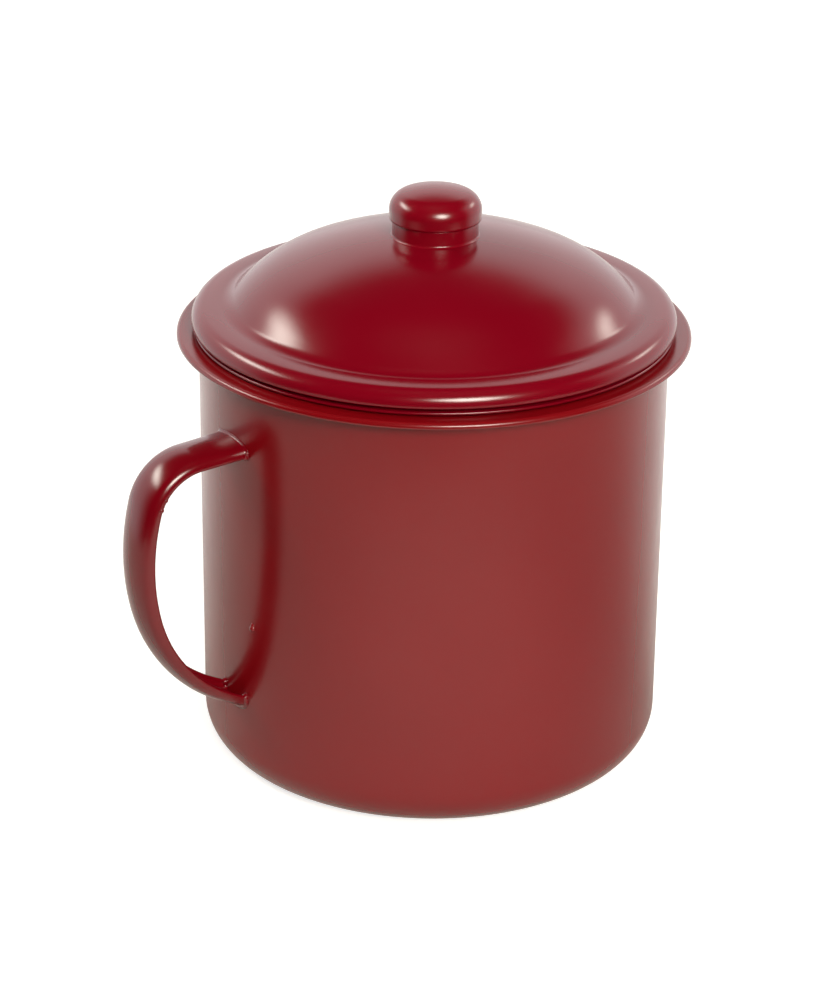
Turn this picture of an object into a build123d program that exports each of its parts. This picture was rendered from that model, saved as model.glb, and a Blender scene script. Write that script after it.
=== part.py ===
"""Large lidded metal mug: a drawn cup with a turned-out lip, a welded strap handle and a loose lid.

Millimetres, +Z up. The origin is the centre of the resting face, on the cup's axis, and the handle
points along -X. The lid's pieces stand where they are when the lid is on. Sheet pieces are drawn as
the line along the middle of the sheet, which is thickened to both sides and so gets rounded edges.
"""
import math
import os

from build123d import *

# Sheet, fits and cuts
sheet = 0.8  # coated sheet of the cup and the lid
contact_gap = 0.05  # between pieces that are fixed to each other
seat_gap = 0.3  # between the collar's seat ring and the lip that it rests on
plug_gap = 0.6  # between the collar's wall and the mouth, all round
overrun = 3.0  # how far a cut or a swept end runs past its face

# Cup
cup_radius = 60.0
cup_height = 114.4
base_corner = 9.6
lip_width = 5.6
lip_bend = 1.3  # from the wall to the lip
lip_edge_bend = 0.7
lip_edge_leg = 0.1  # straight part of the turned-down edge

# Strap handle: its route is a line, three tangent arcs and a line
strap_sheet = 1.0
handle_drop = 17.8  # from the lip's top to where the crown leaves the wall
handle_foot = 22.87  # height at which the crown meets the wall again
handle_slope = 3.3  # degrees below level
upper_leg = 12.2
upper_bend_radius = 16.0
upper_bend_turn = 71.3
grip_turn = 28.5
lower_bend_radius = 44.0
lower_bend_turn = 50.0
upper_crown_width = 10.6  # between the turned-in edges, at the upper end
lower_crown_width = 7.8
crown_rise = 0.8
edge_bend_radius = 2.2
edge_bend_turn = 70.0

# Weld dabs at the strap's ends
tip_dab_radius = 1.3
side_dab_radius = 1.1
side_dab_bury_share = 0.5  # of a side dab's radius, sunk into the strap and cut away
side_dab_height_share = 0.45  # down the turned edge

# Lid
rim_reach = 1.8  # of the lid's rim past the cup's wall
rim_lift = 2.05  # from the lip's top to the rim's lower edge
rim_depth = 4.7
rim_bend = 3.3
brim_width = 9.37
crease_bend = 5.4
dome_rise = 18.35
shoulder_radius = 35.6
crease_lean = 37.98  # degrees off upright, where the shoulder's arc would meet the brim's line

# Collar under the brim
collar_flange = 3.6
collar_bend = 0.6
seat_reach = 2.0  # of the seat ring past the mouth
plug_depth = 8.4

# Knob
knob_sheet = 0.6
knob_radius = 11.75
knob_lift = 3.5  # from the dome's top to the cap's lower edge
knob_height = 8.3  # of the cap alone
knob_crown_radius = 30.1
knob_shoulder = 4.5
cap_edge_bend = 0.5
neck_flange = 0.6  # from the neck out to the flange's end, on the sheet's middle
neck_flange_gap = 0.15  # between the flange and the cap's wall
neck_bend = 0.5
foot_reach = 0.9  # of the foot past the neck
foot_flare = 0.75

# Fastening of the knob
screw_radius = 2.0
screw_gap = 0.15  # around the shank
screw_head_radius = 3.8
screw_head_height = 2.6
screw_head_round = 1.2
screw_tip_inset = 0.5  # below the insert's top
washer_radius = 6.0
washer_thickness = 0.8

# Heights and radii that follow. A name with "mid" is on the middle of the sheet
half_sheet = sheet / 2
half_knob_sheet = knob_sheet / 2
lip_radius = cup_radius + lip_width
mouth_radius = cup_radius - sheet
rim_radius = cup_radius + rim_reach
rim_bottom = cup_height + rim_lift
rim_top = rim_bottom + rim_depth
rim_mid_radius = rim_radius - half_sheet
brim_mid_top = rim_top - half_sheet
crease_radius = rim_mid_radius - brim_width
dome_mid_top = brim_mid_top + dome_rise
dome_top = dome_mid_top + half_sheet

# The shoulder's arc ends in the crease, and the crown's arc is tangent to it and level on the axis
shoulder_end = math.radians(crease_lean)
shoulder_centre_radius = crease_radius - shoulder_radius * math.cos(shoulder_end)
shoulder_centre_height = brim_mid_top - shoulder_radius * math.sin(shoulder_end)
shoulder_below = dome_mid_top - shoulder_centre_height
crown_reach = shoulder_centre_radius**2 + shoulder_below**2 - shoulder_radius**2
crown_radius = crown_reach / (2 * (shoulder_below - shoulder_radius))
dome_centre = dome_mid_top - crown_radius
crown_lean = math.atan2(shoulder_centre_radius, shoulder_centre_height - dome_centre)
crown_end = (crown_radius * math.sin(crown_lean), dome_centre + crown_radius * math.cos(crown_lean))


def crown_height(radius, lift):
    """Height of the dome's crown at a radius, on a surface that lies lift above the sheet's middle."""
    return dome_centre + math.sqrt((crown_radius + lift) ** 2 - radius**2)


# Cup: from the centre of the base up the wall and out to the lip's turned-down edge
cup_mid_radius = cup_radius - half_sheet
lip_mid_height = cup_height - half_sheet
lip_mid_radius = lip_radius - half_sheet
with BuildPart() as cup_body:
    with BuildSketch(Plane.XZ):
        with BuildLine():
            FilletPolyline(
                (0, half_sheet),
                (cup_mid_radius, half_sheet),
                (cup_mid_radius, lip_mid_height),
                (lip_mid_radius, lip_mid_height),
                (lip_mid_radius, lip_mid_height - lip_edge_bend - lip_edge_leg),
                radius=[base_corner, lip_bend, lip_edge_bend],
            )
            offset(amount=half_sheet, side=Side.BOTH)
        make_face()
        split(bisect_by=Plane.YZ)
    revolve(axis=Axis.Z)
cup_body.part.label = "cup_body"

# Handle headings, as angles below level, at the start of each stretch of the route
leave_lean = math.radians(handle_slope)
grip_lean = leave_lean + math.radians(upper_bend_turn)
low_lean = grip_lean + math.radians(grip_turn)
home_lean = low_lean + math.radians(lower_bend_turn)


def reach_and_fall(start, end):
    """How far out and how far down an arc of unit radius goes as its heading turns from start to end."""
    return math.sin(end) - math.sin(start), math.cos(start) - math.cos(end)


# The grip's radius brings the route's last line to the wall at the foot's height
handle_top = cup_height - handle_drop
top_fall = math.tan(leave_lean)
home_fall = -math.tan(home_lean)
upper_out, upper_fall = reach_and_fall(leave_lean, grip_lean)
grip_out, grip_fall = reach_and_fall(grip_lean, low_lean)
low_out, low_fall = reach_and_fall(low_lean, home_lean)
bends_out = upper_leg + upper_bend_radius * upper_out + lower_bend_radius * low_out
bends_fall = upper_leg * top_fall + upper_bend_radius * upper_fall + lower_bend_radius * low_fall
grip_drop = handle_top - handle_foot - bends_fall - bends_out * home_fall
grip_radius = grip_drop / (grip_fall + grip_out * home_fall)

# Handle route, from inside the wall at the top to inside the wall at the bottom
with BuildLine(Plane.XZ) as route:
    leave = Line(
        (-cup_radius + overrun, handle_top + overrun * top_fall),
        (-cup_radius - upper_leg, handle_top - upper_leg * top_fall),
    )
    upper_bend = JernArc(leave @ 1, leave % 1, upper_bend_radius, upper_bend_turn)
    grip = JernArc(upper_bend @ 1, upper_bend % 1, grip_radius, grip_turn)
    lower_bend = JernArc(grip @ 1, grip % 1, lower_bend_radius, lower_bend_turn)
    way_in = lower_bend % 1
    low_run = (-cup_radius - (lower_bend @ 1).X) / way_in.X
    Line(lower_bend @ 1, lower_bend @ 1 + way_in * (low_run + overrun / way_in.X))
route_wire = route.wire()
upper_end = Plane(origin=(-cup_radius, 0, handle_top), x_dir=(0, -1, 0), z_dir=leave % 1)
lower_end = Plane(origin=lower_bend @ 1 + way_in * low_run, x_dir=(0, -1, 0), z_dir=way_in)


def strap_section(plane, crown_width):
    """Section of the strap: a low crown between two turned-in edges."""
    with BuildSketch(plane) as section:
        with BuildLine():
            crown = TangentArc((0, 0), (crown_width / 2, -crown_rise), tangent=(1, 0))
            JernArc(crown @ 1, crown % 1, edge_bend_radius, -edge_bend_turn)
            mirror(about=Plane.YZ)
            offset(amount=strap_sheet / 2, side=Side.BOTH)
        make_face()
    return section.sketch.face()


def edge_tip(crown_width):
    """Half width and depth of the turned-in edge's tip in the strap's section."""
    lean = 2 * math.atan2(crown_rise, crown_width / 2)
    end = lean + math.radians(edge_bend_turn)
    half_width = crown_width / 2 + edge_bend_radius * (math.sin(end) - math.sin(lean))
    return half_width, crown_rise + edge_bend_radius * (math.cos(lean) - math.cos(end))


with BuildPart() as cup_core:
    Cylinder(cup_radius, cup_height, align=(Align.CENTER, Align.CENTER, Align.MIN))

with BuildPart() as handle_strap:
    start = Plane(origin=route_wire @ 0, x_dir=upper_end.x_dir, z_dir=upper_end.z_dir)
    end = Plane(origin=route_wire @ 1, x_dir=lower_end.x_dir, z_dir=lower_end.z_dir)
    sweep(
        sections=[strap_section(start, upper_crown_width), strap_section(end, lower_crown_width)],
        path=route_wire,
        multisection=True,
    )
    with BuildSketch():
        Circle(cup_radius + contact_gap)
    extrude(amount=cup_height, mode=Mode.SUBTRACT)
handle_strap.part.label = "handle_strap"


def on_wall(plane, across, out):
    """Point of the cup's wall that a place in an end's section reaches, going along the strap."""
    place = plane.from_local_coords((across, out))
    wall_x = -math.sqrt(cup_radius**2 - place.Y**2)
    return place + plane.z_dir * ((wall_x - place.X) / plane.z_dir.X)


def weld_dabs(plane, crown_width):
    """Weld dabs at one end of the strap: one on each turned edge's tip and one on its outer side."""
    half_width, depth = edge_tip(crown_width)
    side = half_width + strap_sheet / 2 + side_dab_radius * (1 - side_dab_bury_share)
    high = depth * side_dab_height_share
    with BuildPart() as dabs:
        with Locations(*(on_wall(plane, x, -depth) for x in (-half_width, half_width))):
            Sphere(tip_dab_radius)
        with Locations(*(on_wall(plane, x, -high) for x in (-side, side))):
            Sphere(side_dab_radius)
        add(handle_strap.part, mode=Mode.SUBTRACT)
        add(cup_core.part, mode=Mode.SUBTRACT)
    return dabs.part


upper_handle_welds = weld_dabs(upper_end, upper_crown_width)
upper_handle_welds.label = "upper_handle_welds"
lower_handle_welds = weld_dabs(lower_end, lower_crown_width)
lower_handle_welds.label = "lower_handle_welds"

# Lid shell: from the screw's hole over the crown, shoulder, crease and flat brim to the turned-down rim
hole_mid_radius = screw_radius + screw_gap + half_sheet
hole_edge = (hole_mid_radius, crown_height(hole_mid_radius, 0))
crease = (crease_radius, brim_mid_top)
rim_turn = (rim_mid_radius, brim_mid_top)
with BuildPart() as lid_shell:
    with BuildSketch(Plane.XZ):
        with BuildLine() as lid_line:
            RadiusArc(hole_edge, crown_end, crown_radius)
            RadiusArc(crown_end, crease, shoulder_radius)
            Polyline(crease, rim_turn, (rim_mid_radius, rim_bottom + half_sheet))
            fillet(lid_line.vertices().sort_by_distance(crease)[0], crease_bend)
            fillet(lid_line.vertices().sort_by_distance(rim_turn)[0], rim_bend)
            offset(amount=half_sheet, side=Side.BOTH)
        make_face()
    revolve(axis=Axis.Z)
lid_shell.part.label = "lid_shell"

# Collar: flange under the brim and a plug wall down into the mouth, with a seat ring on the lip
collar_mid_radius = mouth_radius - plug_gap - half_sheet
flange_radius = collar_mid_radius - collar_flange
flange_mid_top = brim_mid_top - sheet - contact_gap
seat_mid_height = cup_height + seat_gap + half_sheet
seat_end = mouth_radius + seat_reach - half_sheet
with BuildPart() as lid_collar:
    with BuildSketch(Plane.XZ):
        with BuildLine():
            FilletPolyline(
                (flange_radius, flange_mid_top),
                (collar_mid_radius, flange_mid_top),
                (collar_mid_radius, cup_height - plug_depth + half_sheet),
                radius=collar_bend,
            )
            offset(amount=half_sheet, side=Side.BOTH)
        make_face()
        with BuildLine():
            Line((collar_mid_radius, seat_mid_height), (seat_end, seat_mid_height))
            offset(amount=half_sheet, side=Side.BOTH)
        make_face()
    revolve(axis=Axis.Z)
lid_collar.part.label = "lid_collar"

# Knob cap: hollow head whose lower edge turns in under the neck's flange
cap_bottom = dome_top + knob_lift
cap_mid_bottom = cap_bottom + half_knob_sheet
cap_mid_top = cap_bottom + knob_height - half_knob_sheet
cap_mid_radius = knob_radius - half_knob_sheet
cap_centre = cap_mid_top - knob_crown_radius
cap_arm = knob_crown_radius - knob_shoulder
cap_lean = math.asin((cap_mid_radius - knob_shoulder) / cap_arm)
cap_crown_end = (
    knob_crown_radius * math.sin(cap_lean),
    cap_centre + knob_crown_radius * math.cos(cap_lean),
)
cap_wall_top = (cap_mid_radius, cap_centre + cap_arm * math.cos(cap_lean))
cap_turn = (cap_mid_radius, cap_mid_bottom)
flange_end = cap_mid_radius - half_knob_sheet - neck_flange_gap - half_knob_sheet
neck_mid_radius = flange_end - neck_flange
neck_radius = neck_mid_radius + half_knob_sheet
cap_edge_radius = neck_radius + neck_bend + contact_gap  # end of the turned-in edge's middle line
with BuildPart() as knob_cap:
    with BuildSketch(Plane.XZ):
        with BuildLine() as cap_line:
            RadiusArc((0, cap_mid_top), cap_crown_end, knob_crown_radius)
            RadiusArc(cap_crown_end, cap_wall_top, knob_shoulder)
            Polyline(cap_wall_top, cap_turn, (cap_edge_radius, cap_mid_bottom))
            fillet(cap_line.vertices().sort_by_distance(cap_turn)[0], cap_edge_bend)
            offset(amount=half_knob_sheet, side=Side.BOTH)
        make_face()
        split(bisect_by=Plane.YZ)
    revolve(axis=Axis.Z)
knob_cap.part.label = "knob_cap"

# Knob neck: flange inside the cap, straight neck and a foot that flares out on the dome
flange_mid_height = cap_bottom + knob_sheet + contact_gap + half_knob_sheet
foot_mid_radius = neck_mid_radius + foot_reach
over_dome = half_sheet + contact_gap + half_knob_sheet
with BuildPart() as knob_neck:
    with BuildSketch(Plane.XZ):
        with BuildLine():
            FilletPolyline(
                (flange_end, flange_mid_height),
                (neck_mid_radius, flange_mid_height),
                (neck_mid_radius, crown_height(neck_mid_radius, over_dome)),
                (foot_mid_radius, crown_height(foot_mid_radius, over_dome)),
                radius=[neck_bend, foot_flare],
            )
            offset(amount=half_knob_sheet, side=Side.BOTH)
        make_face()
    revolve(axis=Axis.Z)
knob_neck.part.label = "knob_neck"

# Tapped insert inside the neck
insert_bottom = dome_top + contact_gap
insert_top = flange_mid_height + half_knob_sheet
with BuildPart() as knob_insert:
    with BuildSketch(Plane.XY.offset(insert_bottom)):
        Circle(neck_radius - knob_sheet - contact_gap)
        Circle(screw_radius + contact_gap, mode=Mode.SUBTRACT)
    extrude(amount=insert_top - insert_bottom)
knob_insert.part.label = "knob_insert"

# Washer against the dome's underside, and the screw through it
washer_top = crown_height(washer_radius, -half_sheet) - contact_gap
head_top = washer_top - washer_thickness - contact_gap
with BuildPart() as knob_washer:
    with BuildSketch(Plane.XY.offset(washer_top)):
        Circle(washer_radius)
        Circle(screw_radius + screw_gap, mode=Mode.SUBTRACT)
    extrude(amount=-washer_thickness)
knob_washer.part.label = "knob_washer"

with BuildPart() as knob_screw:
    with BuildSketch(Plane.XY.offset(head_top)):
        Circle(screw_head_radius)
    extrude(amount=-screw_head_height)
    fillet(knob_screw.edges().sort_by(Axis.Z)[0], screw_head_round)
    with BuildSketch(Plane.XY.offset(head_top)):
        Circle(screw_radius)
    extrude(amount=insert_top - screw_tip_inset - head_top)
knob_screw.part.label = "knob_screw"

pieces = [
    cup_body.part,
    handle_strap.part,
    upper_handle_welds,
    lower_handle_welds,
    lid_shell.part,
    lid_collar.part,
    knob_cap.part,
    knob_neck.part,
    knob_insert.part,
    knob_washer.part,
    knob_screw.part,
]
os.makedirs("parts", exist_ok=True)
for piece in pieces:
    export_step(piece, f"parts/{piece.label}.step")
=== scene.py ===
"""Dressed model of a large lidded metal mug with a strap handle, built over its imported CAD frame.

Metres, +Z up. The origin is the centre of the resting face and the handle points along -X. Sheet
pieces are drawn as the line along the middle of the sheet and thickened to both sides.
"""

import logging
import math
from dataclasses import dataclass, field
from enum import Enum
from functools import cached_property

import bmesh
import bpy
import numpy as np
from mathutils import Matrix, Vector, noise

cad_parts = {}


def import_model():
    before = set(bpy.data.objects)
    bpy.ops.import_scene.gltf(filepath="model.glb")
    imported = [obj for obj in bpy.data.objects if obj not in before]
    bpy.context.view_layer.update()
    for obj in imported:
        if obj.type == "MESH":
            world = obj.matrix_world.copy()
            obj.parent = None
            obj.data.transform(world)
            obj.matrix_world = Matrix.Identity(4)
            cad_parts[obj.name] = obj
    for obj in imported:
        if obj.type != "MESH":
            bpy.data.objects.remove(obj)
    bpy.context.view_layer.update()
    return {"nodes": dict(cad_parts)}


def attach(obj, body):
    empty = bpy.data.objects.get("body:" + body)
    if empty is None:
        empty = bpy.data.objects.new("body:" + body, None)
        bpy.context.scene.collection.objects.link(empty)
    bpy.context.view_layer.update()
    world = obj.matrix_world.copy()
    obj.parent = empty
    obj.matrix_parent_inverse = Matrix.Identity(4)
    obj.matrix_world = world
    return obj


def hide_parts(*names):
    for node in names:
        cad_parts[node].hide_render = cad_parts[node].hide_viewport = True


LOG = logging.getLogger("lidded_mug")
MM = 0.001
SAME_PLACE = 1e-7
RIPPLES_PER_METRE = 1100.0
FLOAT, COLOUR = "NodeSocketFloat", "NodeSocketColor"
Point = tuple[float, float]
Place = tuple[float, float, float]
Colour = tuple[float, float, float]
Face = tuple[int, ...]
Lump = tuple[Vector, float]
Thing = bpy.types.Object
Material = bpy.types.Material
Node = bpy.types.Node
Socket = bpy.types.NodeSocket
Values = dict[str | int, object]
Kinds = dict[str, str]


class Body(Enum):
    """CAD bodies that the pieces ride on."""

    CUP = "cup"
    LID = "lid"


class Slot(Enum):
    """Material slots of the record."""

    CUP = "cup_coat"
    HANDLE = "handle_coat"
    LID = "lid_coat"
    KNOB = "knob_coat"
    STEEL = "bare_steel"


class Effect(Enum):
    """Surface effects that several materials share, each one a node group."""

    PEEL = "orange_peel"
    DRIFT = "coat_drift"
    NIBS = "paint_nibs"


Finishes = dict[Slot, Material]


# ---- Sheet lines and meshes ----


class SheetLine:
    """Middle line of a turned sheet piece, kept as points of radius and height."""

    least_steps: int = 6
    widest_step: float = math.radians(4.0)
    longest_step: float = 2 * MM
    edge_points: int = 7

    def __init__(self) -> None:
        """Starts an empty line."""
        self.points: list[Point] = []

    def add(self, point: Point) -> None:
        """Adds a point, unless it repeats the last one."""
        if not self.points or math.dist(point, self.points[-1]) > SAME_PLACE:
            self.points.append(point)

    def arc(self, centre: Point, radius: float, start: float, end: float) -> "SheetLine":
        """Adds an arc.

        Args:
            centre: Centre as radius and height.
            radius: Radius of the arc.
            start: First angle in radians, 0 outward and a quarter turn up.
            end: Last angle in radians.

        Returns:
            The line itself.
        """
        turn = abs(end - start)
        needed = math.ceil(max(turn / self.widest_step, turn * radius / self.longest_step))
        for angle in np.linspace(start, end, max(self.least_steps, needed) + 1):
            self.add((centre[0] + radius * math.cos(angle), centre[1] + radius * math.sin(angle)))
        return self

    def path(self, corners: list[Point], bends: list[float]) -> "SheetLine":
        """Adds straight runs through corners, with each inner corner rounded.

        Args:
            corners: Corners as radius and height.
            bends: Bend radius of each inner corner.

        Returns:
            The line itself.
        """
        self.add(corners[0])
        for before, corner, after, bend in zip(corners, corners[1:], corners[2:], bends):
            here = np.array(corner)
            back = np.array(before) - here
            on = np.array(after) - here
            back /= np.linalg.norm(back)
            on /= np.linalg.norm(on)
            half_angle = math.acos(float(np.clip(back @ on, -1.0, 1.0))) / 2
            middle = back + on
            centre = here + middle / np.linalg.norm(middle) * bend / math.sin(half_angle)
            reach = bend / math.tan(half_angle)
            first = here + back * reach - centre
            last = here + on * reach - centre
            start = math.atan2(first[1], first[0])
            turn = math.atan2(first[0] * last[1] - first[1] * last[0], float(first @ last))
            self.arc((centre[0], centre[1]), bend, start, start + turn)
        self.add(corners[-1])
        return self

    def outline(self, half: float) -> np.ndarray:
        """Thickens the line to both sides, with round free edges.

        Args:
            half: Half the sheet's thickness.

        Returns:
            Outline points of radius and height. It is open where the line starts on the axis.
        """
        middle = np.array(self.points)
        run = np.gradient(middle, axis=0)
        run /= np.linalg.norm(run, axis=1)[:, None]
        on_axis = middle[0, 0] < SAME_PLACE
        if on_axis:
            run[0] = (1.0, 0.0)
        across = np.stack([-run[:, 1], run[:, 0]], axis=1)
        lean = np.linspace(0, math.pi, self.edge_points + 2)[1:-1, None]
        end_edge = middle[-1] + half * (across[-1] * np.cos(lean) + run[-1] * np.sin(lean))
        rows = [middle + half * across, end_edge, (middle - half * across)[::-1]]
        if not on_axis:
            rows.append(middle[0] - half * (across[0] * np.cos(lean) + run[0] * np.sin(lean)))
        return np.concatenate(rows)


def facing(azimuth: float, elevation: float) -> Vector:
    """Direction from the mug, by azimuth from -Y towards +X and elevation, both in degrees."""
    turn, rise = math.radians(azimuth), math.radians(elevation)
    return Vector((math.sin(turn) * math.cos(rise), -math.cos(turn) * math.cos(rise), math.sin(rise)))


def add_object(name: str, data: bpy.types.ID) -> Thing:
    """Makes an object of some data and puts it into the scene.

    Args:
        name: Name of the object.
        data: Its mesh, light or camera.

    Returns:
        The new object.
    """
    thing = bpy.data.objects.new(name, data)
    bpy.context.scene.collection.objects.link(thing)
    return thing


def bake_modifiers(piece: Thing) -> bpy.types.Mesh:
    """Turns a piece's modifiers into its mesh.

    Args:
        piece: Object with the modifiers.

    Returns:
        Its new mesh.
    """
    bpy.context.view_layer.update()
    mesh = bpy.data.meshes.new_from_object(piece.evaluated_get(bpy.context.evaluated_depsgraph_get()))
    piece.modifiers.clear()
    piece.data = mesh
    return mesh


def band(low: list[int], high: list[int]) -> list[Face]:
    """Faces between two closed rings that have as many vertices."""
    steps = [(i, (i + 1) % len(low)) for i in range(len(low))]
    return [(low[i], low[j], high[j], high[i]) for i, j in steps]


def new_piece(name: str, points: list[Place], faces: list[Face]) -> Thing:
    """Makes a smooth mesh object whose faces point outward.

    Args:
        name: Name of the piece.
        points: Vertex places in metres.
        faces: Vertex numbers of each face.

    Returns:
        The new object.
    """
    mesh = bpy.data.meshes.new(name)
    mesh.from_pydata(points, [], faces)
    shape = bmesh.new()
    shape.from_mesh(mesh)
    bmesh.ops.recalc_face_normals(shape, faces=shape.faces[:])
    shape.to_mesh(mesh)
    shape.free()
    mesh.shade_smooth()
    return add_object(name, mesh)


def turn_piece(name: str, outline: np.ndarray, segments: int = 192) -> Thing:
    """Turns an outline about the axis.

    Args:
        name: Name of the piece.
        outline: Points of radius and height; an outline that starts on the axis is left open there.
        segments: Number of steps round the axis.

    Returns:
        The new object.
    """
    angles = np.arange(segments) * (2 * math.pi / segments)
    ring = np.stack([np.cos(angles), np.sin(angles)], axis=1)
    points: list[Place] = []
    rows: list[list[int]] = []
    for radius, height in outline:
        first = len(points)
        if radius < SAME_PLACE:
            points.append((0.0, 0.0, float(height)))
            rows.append([first] * segments)
        else:
            points.extend((float(x * radius), float(y * radius), float(height)) for x, y in ring)
            rows.append(list(range(first, first + segments)))
    pairs = list(zip(rows, rows[1:]))
    if outline[0][0] > SAME_PLACE:
        pairs.append((rows[-1], rows[0]))
    faces = [tuple(dict.fromkeys(face)) for low, high in pairs for face in band(low, high)]
    return new_piece(name, points, [face for face in faces if len(face) > 2])


def lump_piece(name: str, lumps: list[Lump], voxel: float, ripple: float) -> Thing:
    """Melts round lumps into one uneven drop, as weld metal or a run of coat sets.

    Args:
        name: Name of the piece.
        lumps: Middle and radius of each lump.
        voxel: Fineness of the melted mesh.
        ripple: How far its surface wavers.

    Returns:
        The new object.
    """
    shape = bmesh.new()
    for middle, radius in lumps:
        place = Matrix.Translation(middle)
        bmesh.ops.create_icosphere(shape, subdivisions=3, radius=radius, matrix=place)
    mesh = bpy.data.meshes.new(name)
    shape.to_mesh(mesh)
    shape.free()
    piece = add_object(name, mesh)
    fuse = piece.modifiers.new("fuse", "REMESH")
    fuse.mode = "VOXEL"
    fuse.voxel_size = voxel
    ease = piece.modifiers.new("ease", "SMOOTH")
    ease.factor = 0.5
    ease.iterations = 4
    fused = bake_modifiers(piece)
    for vertex in fused.vertices:
        vertex.co += vertex.normal * (ripple * noise.noise(vertex.co * RIPPLES_PER_METRE))
    fused.shade_smooth()
    return piece


def settle(piece: Thing, body: Body, slot: Slot, finishes: Finishes, *nodes: str) -> None:
    """Puts a piece on its body in place of its CAD nodes, with its finish.

    Args:
        piece: The new object.
        body: CAD body that carries it.
        slot: Record slot of its finish.
        finishes: Material of each slot.
        nodes: CAD nodes that it stands for.
    """
    piece.data.materials.clear()
    piece.data.materials.append(finishes[slot])
    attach(piece, body.value)
    if nodes:
        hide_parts(*nodes)
    count = len(piece.data.polygons)
    LOG.info("%s: %d faces on %s, for %s", piece.name, count, body.value, nodes or "no node")


# ---- Finishes ----


class NodeBench:
    """Adds and joins the nodes of one node tree."""

    def __init__(self, tree: bpy.types.NodeTree) -> None:
        """Empties the tree and works on it."""
        self.tree = tree
        tree.nodes.clear()

    @classmethod
    def for_material(cls, name: str) -> tuple[Material, "NodeBench"]:
        """Makes a material and the bench for its nodes.

        Args:
            name: Name of the material.

        Returns:
            The material and its bench.
        """
        material = bpy.data.materials.new(name)
        material.use_nodes = True
        return material, cls(material.node_tree)

    @cached_property
    def place(self) -> Socket:
        """Place on the object, the same at every pose."""
        return self.add("ShaderNodeTexCoord").outputs["Object"]

    def join(self, value: object, target: Socket) -> None:
        """Links a socket to an input, or sets the input to a plain value.

        Args:
            value: Socket to link or value to set.
            target: The input.
        """
        if isinstance(value, Socket):
            self.tree.links.new(value, target)
        else:
            target.default_value = value

    def add(self, kind: str, values: Values | None = None, **settings: object) -> Node:
        """Adds a node.

        Args:
            kind: Type of the node.
            values: Sockets or plain values for its inputs, by name or number.
            settings: Properties of the node.

        Returns:
            The node.
        """
        node = self.tree.nodes.new(kind)
        for name, value in settings.items():
            setattr(node, name, value)
        for name, value in (values or {}).items():
            self.join(value, node.inputs[name])
        return node

    def texture(self, kind: str, values: Values, **settings: object) -> Node:
        """Adds a texture node that is fixed to the object, with values and settings as for add."""
        return self.add(kind, {"Vector": self.place, **values}, **settings)

    def maths(self, kind: str, *values: object) -> Socket:
        """Adds a calculation with sockets or numbers and gives its result."""
        return self.add("ShaderNodeMath", dict(enumerate(values)), operation=kind).outputs[0]

    def measure(self, kind: str, place: Socket, fixed: Vector) -> Socket:
        """Measures a place against a fixed vector, such as its distance, and gives the number."""
        return self.add("ShaderNodeVectorMath", {0: place, 1: fixed}, operation=kind).outputs["Value"]

    def bump(self, height: Socket, distance: float, strength: float = 1.0) -> Node:
        """Adds a bump of some depth."""
        values = {"Height": height, "Distance": distance, "Strength": strength}
        return self.add("ShaderNodeBump", values)

    def mix(self, factor: object, first: object, second: object) -> Socket:
        """Blends two colours and gives the result."""
        values = {"Factor": factor, "A": first, "B": second}
        return self.add("ShaderNodeMix", values, data_type="RGBA").outputs["Result"]

    def remap(self, value: Socket, low: float, high: float, to_low: object, to_high: object) -> Socket:
        """Moves a value from one range to another, smoothly and clamped.

        Args:
            value: The value.
            low: Start of its range.
            high: End of its range.
            to_low: Result at the start, a socket or a number.
            to_high: Result at the end, a socket or a number.

        Returns:
            The result's socket.
        """
        values = {"Value": value, "From Min": low, "From Max": high, "To Min": to_low, "To Max": to_high}
        return self.add("ShaderNodeMapRange", values, interpolation_type="SMOOTHSTEP").outputs["Result"]

    def end(self, kind: str, shader: Socket) -> None:
        """Ends the tree in an output node of some type."""
        self.add(kind, {"Surface": shader})


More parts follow.
